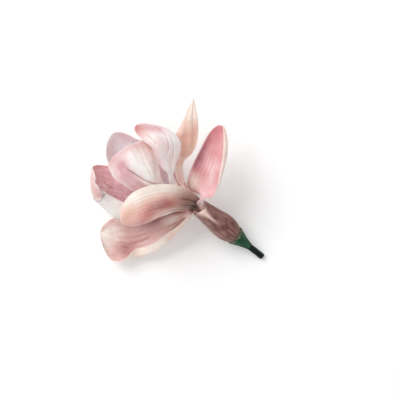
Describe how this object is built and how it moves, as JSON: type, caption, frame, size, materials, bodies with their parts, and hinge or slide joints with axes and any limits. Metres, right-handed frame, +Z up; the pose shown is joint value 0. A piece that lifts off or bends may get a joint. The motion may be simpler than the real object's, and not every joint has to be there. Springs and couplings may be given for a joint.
{
  "type": "saucer magnolia blossom",
  "caption": "Picked saucer magnolia bloom lying on its side: open pink and cream petals in three whorls, a mauve tube, a green cup and a short cut stalk.",
  "frame": {"origin": "on the surface that the bloom lies on, below the middle of its bounding box", "axes": "+Z up from the surface, +X across the bloom towards the end with the cut stalk, +Y across it towards the tall narrow petal"},
  "size_m": [0.1524, 0.1414, 0.0674],
  "materials": {
    "petal_pink": "soft satin",
    "petal_peach": "soft satin",
    "petal_pale": "soft satin",
    "tube": "satin",
    "green_cup": "satin",
    "stalk": "matte",
    "carpels": "matte",
    "stamens": "matte"
  },
  "bodies": {
    "root": {"outer_tepal_right": "petal_pink", "outer_tepal_low": "petal_pink", "outer_tepal_under": "petal_pink", "middle_tepal_tall": "petal_peach", "middle_tepal_left": "petal_pink", "middle_tepal_front": "petal_peach", "inner_tepal_right": "petal_pale", "inner_tepal_front": "petal_pale", "inner_tepal_back": "petal_pink", "flower_tube": "tube", "green_cup": "green_cup", "cut_stalk": "stalk", "carpels": "carpels", "stamens": "stamens"}
  },
  "joints": []
}
